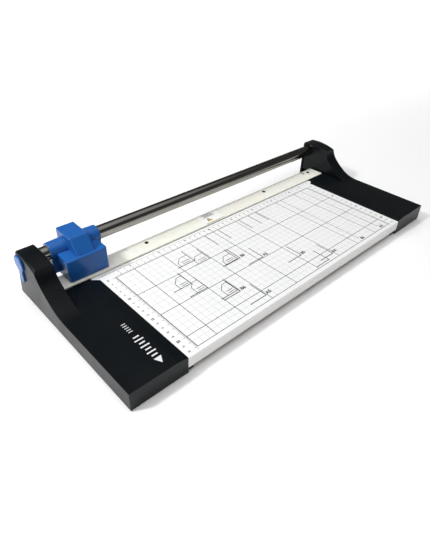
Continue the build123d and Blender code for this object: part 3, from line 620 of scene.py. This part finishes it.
def print_sheet():
    dark = Print(BOARD_TOP)
    grey = Print(BOARD_TOP)
    pale = Print(BOARD_TOP)
    print_grid(dark)
    print_frame_bands(pale)
    print_rulers(dark, grey)
    print_paper_marks(dark)
    left, right = (on_sheet(across, SHEET_NEAR_EDGE) for across in (0.1, SHEET_WIDTH - 0.1))
    dark.line(left, right, 0.0005)
    dark_ink = ink("print_ink_dark", (0.016, 0.016, 0.018))
    grey_ink = ink("print_ink_grey", (0.22, 0.22, 0.21))
    pale_ink = ink("print_ink_pale", (0.66, 0.66, 0.63))
    dark.finish("sheet_print_dark", dark_ink, "base")
    grey.finish("sheet_print_grey", grey_ink, "base")
    pale.finish("sheet_print_pale", pale_ink, "base")


def print_label():
    """Triangle and plain bars on the strip's sticker, and a brown line along its front edge for
    the strip's yellowed edge with painted shade.
    """
    low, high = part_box("strip_label")
    middle_y = (low.y + high.y) / 2
    middle_x = (low.x + high.x) / 2
    yellow = Print(high.z)
    grey = Print(high.z)
    brown = Print(high.z)
    side = 0.0056
    x = low.x + 0.0135
    y = middle_y - 0.0032
    yellow.slab([(x - side, y - side), (x + side, y - side), (x, y + 0.8 * side)])
    bar_pitch = 0.0026
    bar_width = 0.0012
    for row in range(4):
        reach = 0.0085 if row % 2 else 0.0110
        y = middle_y + 0.0036 + row * bar_pitch
        grey.line((middle_x - reach, y), (middle_x + reach, y), bar_width)
    # Brown line along the sticker's front edge: the strip's yellowed edge, with painted shade
    # where the sticker darkens it.
    edge_y = low.y + 0.0008
    inset = 0.001
    brown.line((low.x + inset, edge_y), (high.x - inset, edge_y), bar_width)
    yellow_ink = ink("label_ink_yellow", (0.42, 0.33, 0.05))
    grey_ink = ink("label_ink_grey", (0.10, 0.09, 0.09))
    edge_and_shade_colour = ink("label_edge_brown_and_shade", (0.34, 0.24, 0.12))
    yellow.finish("label_triangle", yellow_ink, "clamp")
    grey.finish("label_bars", grey_ink, "clamp")
    brown.finish("label_front_edge", edge_and_shade_colour, "clamp")


def print_cap_mark():
    """Generic white mark on the left cap: an arrowhead with a row of strokes behind it."""
    white = Print(CAP_TOP)
    x = LEFT_STOP - 0.0265
    y = CUT_Y - 0.204
    half = 0.0050
    arrow_length = 0.010
    white.slab([(x - half, y), (x, y - arrow_length), (x + half, y)])
    broad_start, broad_pitch, broad_width = 0.0050, 0.0060, 0.0020
    for stroke in range(7):
        near = y + broad_start + stroke * broad_pitch
        reach = half * (1.0 if stroke % 2 else 0.6)
        white.line((x - reach, near), (x + reach, near), broad_width)
    fine_start, fine_pitch, fine_width = 0.0520, 0.0040, 0.0010
    for stroke in range(5):
        near = y + fine_start + stroke * fine_pitch
        white.line((x - 0.5 * half, near), (x + 0.5 * half, near), fine_width)
    white.finish("cap_mark", ink("cap_ink_white", (0.75, 0.77, 0.78)), "base")


# ---------------------------------------------------------------- stage

def look_from(location, target, roll=0.0):
    """World matrix of a camera or lamp at location that faces target."""
    back = (location - target).normalized()
    right = Vector((0, 0, 1)).cross(back).normalized()
    up = back.cross(right)
    turned_right = math.cos(roll) * right + math.sin(roll) * up
    turned_up = -math.sin(roll) * right + math.cos(roll) * up
    matrix = Matrix((turned_right, turned_up, back)).transposed().to_4x4()
    matrix.translation = location
    return matrix


def make_camera():
    azimuth = math.radians(CAMERA_AZIMUTH)
    elevation = math.radians(CAMERA_ELEVATION)
    level = math.cos(elevation)
    back = Vector((math.sin(azimuth) * level, -math.cos(azimuth) * level, math.sin(elevation)))
    data = bpy.data.cameras.new("camera")
    data.lens = CAMERA_LENS
    data.sensor_width = 36.0
    data.clip_start = 0.01
    camera = bpy.data.objects.new("camera", data)
    bpy.context.scene.collection.objects.link(camera)
    camera.matrix_world = look_from(CAMERA_TARGET + back * CAMERA_DISTANCE, CAMERA_TARGET,
                                    math.radians(CAMERA_ROLL))
    bpy.context.scene.camera = camera


def make_floor():
    """Large pale sheet under the object, with a faint cloudy tone."""
    mesh = bpy.data.meshes.new("floor")
    maker = bmesh.new()
    bmesh.ops.create_grid(maker, x_segments=8, y_segments=8, size=4.0)
    maker.to_mesh(mesh)
    maker.free()
    surface = Surface("pale_floor")
    cloud = surface.noise(1.5, 3.0)
    tone = surface.mix(surface.span(cloud, 0.0, 1.0), (0.96, 0.96, 0.96), (0.98, 0.98, 0.98))
    surface.colour(tone)
    surface.roughness(surface.span(surface.noise(8.0), 0.7, 0.8))
    mesh.materials.append(surface.material)
    floor = bpy.data.objects.new("floor", mesh)
    bpy.context.scene.collection.objects.link(floor)


def add_softbox(name, location, target, width, height, power, mirrored=False, spread=180.0):
    """Rectangular lamp; only a mirrored one is seen in glossy surfaces. Spread is in degrees."""
    data = bpy.data.lights.new(name, "AREA")
    data.shape = "RECTANGLE"
    data.size = width
    data.size_y = height
    data.energy = power
    data.spread = math.radians(spread)
    lamp = bpy.data.objects.new(name, data)
    bpy.context.scene.collection.objects.link(lamp)
    lamp.visible_glossy = mirrored
    lamp.matrix_world = look_from(Vector(location), Vector(target))


def make_lights():
    """Broad light from above, a small key for the shadows, and fill for edges and floor."""
    add_softbox("overhead", (-0.75, 0.45, 2.5), (-0.75, 0.5, 0.0), 4.0, 4.4, 62.0)
    add_softbox("key", (-1.40, 0.45, 1.45), (-0.05, 0.0, 0.03), 0.22, 0.22, 21.0, mirrored=True)
    add_softbox("edge_light", (-1.76, -0.75, 0.65), (-0.27, 0.08, 0.08), 0.5, 0.5, 2.5,
                mirrored=True)
    add_softbox("far_floor", (2.4, 1.9, 2.0), (2.45, 2.0, 0.0), 3.4, 3.0, 62.0, spread=90.0)


def make_world():
    """Studio surroundings: grey at the horizon, dark part of the way up, bright straight above."""
    world = bpy.data.worlds.new("studio")
    world.use_nodes = True
    bpy.context.scene.world = world
    tree = world.node_tree
    place = tree.nodes.new("ShaderNodeTexCoord")
    split = tree.nodes.new("ShaderNodeSeparateXYZ")
    tree.links.new(place.outputs["Generated"], split.inputs[0])
    ramp = tree.nodes.new("ShaderNodeValToRGB")
    stops = ramp.color_ramp.elements
    stops[0].position = 0.0
    stops[0].color = (0.52, 0.55, 0.52, 1.0)
    stops[1].position = 1.0
    stops[1].color = (0.95, 0.96, 1.0, 1.0)
    for position, grey in ((0.25, 0.09), (0.70, 0.07), (0.82, 0.50)):
        stop = stops.new(position)
        stop.color = (grey, grey, grey, 1.0)
    tree.links.new(split.outputs["Z"], ramp.inputs["Fac"])
    background = tree.nodes["Background"]
    background.inputs["Strength"].default_value = 0.8
    tree.links.new(ramp.outputs["Color"], background.inputs["Color"])


bpy.context.scene.view_settings.view_transform = "Standard"
make_camera()
make_world()
make_lights()
make_floor()
finish_nodes()
print_sheet()
print_label()
print_cap_mark()
